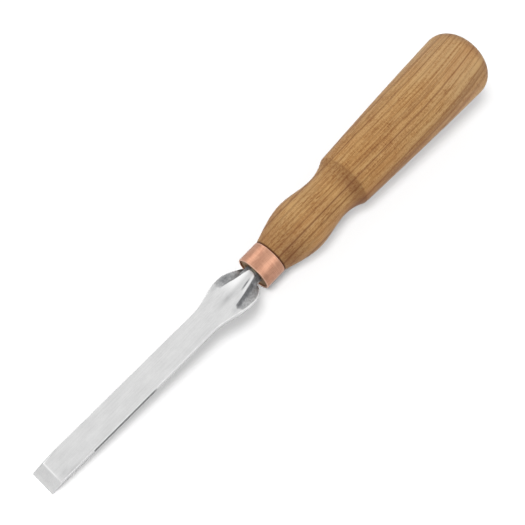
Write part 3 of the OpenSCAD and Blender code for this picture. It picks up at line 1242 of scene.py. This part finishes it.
class CHISEL_OT_stage(bpy.types.Operator):
    """Sets the bench, the lamps, the sky and the camera"""

    bl_idname = "chisel.stage"
    bl_label = "Stage"

    def execute(self, context):
        stage = settings().stage
        bench = self.bench()
        turned_pieces = ("ferrule_turned", "handle_turned")
        for name, spread, side, casters in (
            ("blade_sun", stage.blade_sun_spread, stage.blade_sun_at, ("blade_forged",)),
            ("handle_sun", stage.handle_sun_spread, stage.handle_sun_at, turned_pieces),
        ):
            sun = self.sun(name, stage.bench_sun, spread, side)
            self.link(sun, "receiver", [bench.name])
            self.link(sun, "blocker", casters)
        lamp_sides = (stage.lamp_side, stage.lamp_side)
        for name, brightness, place in (
            ("left_lamp", stage.left_lamp, stage.left_lamp_at),
            ("right_lamp", stage.right_lamp, stage.right_lamp_at),
        ):
            lamp = self.panel(name, brightness, lamp_sides, place)
            lamp.visible_glossy = False
        card_sides = (stage.card_length, stage.card_height)
        for name, brightness, place in (
            ("left_card", stage.left_card, stage.left_card_at),
            ("right_card", stage.right_card, stage.right_card_at),
        ):
            card = self.panel(name, brightness, card_sides, place)
            card.visible_diffuse = False
        self.sky()
        self.camera(context.scene)
        context.scene.view_settings.view_transform = "Standard"
        return {"FINISHED"}

    @staticmethod
    def link(sun, use, names):
        """Names the only objects that a sun lights, as receivers, or that shade it, as blockers."""
        group = bpy.data.collections.new(f"{sun.name}_{use}")
        for name in names:
            group.objects.link(bpy.data.objects[name])
        setattr(sun.light_linking, f"{use}_collection", group)

    def bench(self):
        """A wide pale bench that shows white to the camera and keeps the tool's shadow."""
        stage = settings().stage
        bm = bmesh.new()
        bmesh.ops.create_grid(bm, x_segments=1, y_segments=1, size=stage.bench_half)
        mesh = bpy.data.meshes.new("bench")
        bm.to_mesh(mesh)
        bm.free()
        bench = bpy.data.objects.new("bench", mesh)
        bpy.context.scene.collection.objects.link(bench)
        material, finish = new_finish("pale_bench")
        path = finish.node("ShaderNodeLightPath")
        mirrored = path["Is Glossy Ray"].most(path["Is Transmission Ray"])
        white = stage.bench + path["Is Camera Ray"] * (stage.bench_seen - stage.bench)
        white = white + mirrored * (stage.bench_mirrored - stage.bench)
        grey = finish.joined(white, white, white)
        surface = finish.node("ShaderNodeBsdfDiffuse", None, {"Color": grey})
        finish.node("ShaderNodeOutputMaterial", None, {"Surface": surface})
        mesh.materials.append(material)
        return bench

    def panel(self, name, brightness, sides, place):
        """A wide soft lamp."""
        light = bpy.data.lights.new(name, "AREA")
        light.shape = "RECTANGLE"
        light.size, light.size_y = sides
        light.energy = brightness * math.pi * sides[0] * sides[1]
        return self.aimed(name, light, place)

    def sun(self, name, brightness, spread, place):
        """An even lamp from far away, with soft shadows."""
        light = bpy.data.lights.new(name, "SUN")
        light.angle = spread
        light.energy = brightness * math.pi
        return self.aimed(name, light, place)

    @staticmethod
    def aimed(name, light, place):
        """Puts a light at a place, looking at the tool."""
        lamp = bpy.data.objects.new(name, light)
        lamp.location = place
        lamp.rotation_mode = "QUATERNION"
        lamp.rotation_quaternion = (-Vector(place)).to_track_quat("-Z", "Y")
        bpy.context.scene.collection.objects.link(lamp)
        return lamp

    def sky(self):
        """Even light from all round, which the camera sees as white."""
        world = bpy.data.worlds.new("studio")
        world.use_nodes = True
        bpy.context.scene.world = world
        finish = Finish(world.node_tree)
        path = finish.node("ShaderNodeLightPath")
        stage = settings().stage
        height = finish.parts(finish.node("ShaderNodeTexCoord")["Generated"])[2]
        overhead = finish.fade(height, 0.0, stage.overhead)
        mirrored = stage.horizon_mirrored + overhead * (stage.sky_mirrored - stage.horizon_mirrored)
        strength = stage.sky + path["Is Glossy Ray"] * (mirrored - stage.sky)
        strength = strength + path["Is Camera Ray"] * (1 - stage.sky)
        light = finish.node("ShaderNodeBackground", None, {"Color": (1, 1, 1, 1), "Strength": strength})
        finish.node("ShaderNodeOutputWorld", None, {"Surface": light})

    def camera(self, scene):
        """The camera at the photograph's viewing angle."""
        stage = settings().stage
        data = bpy.data.cameras.new("camera")
        data.sensor_width = stage.sensor / MM
        data.lens = stage.lens / MM
        data.clip_start = 0.01
        camera = bpy.data.objects.new("camera", data)
        level = math.cos(stage.elevation)
        back = Vector((
            math.sin(stage.azimuth) * level,
            -math.cos(stage.azimuth) * level,
            math.sin(stage.elevation),
        ))
        camera.location = Vector(stage.aim) + back * stage.distance
        camera.rotation_mode = "QUATERNION"
        camera.rotation_quaternion = (-back).to_track_quat("-Z", "Y")
        scene.collection.objects.link(camera)
        scene.camera = camera


class CHISEL_PT_panel(bpy.types.Panel):
    """Lists the chisel's pieces and its stage in the sidebar"""

    bl_idname = "CHISEL_PT_panel"
    bl_label = "Flat Carving Chisel"
    bl_space_type = "VIEW_3D"
    bl_region_type = "UI"
    bl_category = "Chisel"

    def draw(self, context):
        chisel = context.scene.chisel
        groups = (chisel.blade, chisel.ferrule, chisel.handle, chisel.finish, chisel.stage)
        for operator in PIECES:
            self.layout.operator(operator.bl_idname)
        for group in groups:
            box = self.layout.box()
            for name in group.__annotations__:
                box.prop(group, name)


PIECES = (CHISEL_OT_blade, CHISEL_OT_ferrule, CHISEL_OT_handle, CHISEL_OT_glue, CHISEL_OT_stage)
GROUPS = (BladeSizes, FerruleSizes, HandleSizes, Finishes, StageSizes, ChiselSettings)
CLASSES = (*GROUPS, *PIECES, CHISEL_PT_panel)


def register():
    for each in CLASSES:
        bpy.utils.register_class(each)
    bpy.types.Scene.chisel = PointerProperty(type=ChiselSettings)


def unregister():
    del bpy.types.Scene.chisel
    for each in reversed(CLASSES):
        bpy.utils.unregister_class(each)


def main():
    register()
    bpy.ops.chisel.blade()
    bpy.ops.chisel.ferrule()
    bpy.ops.chisel.handle()
    bpy.ops.chisel.glue()
    bpy.ops.chisel.stage()


if __name__ == "__main__":
    main()
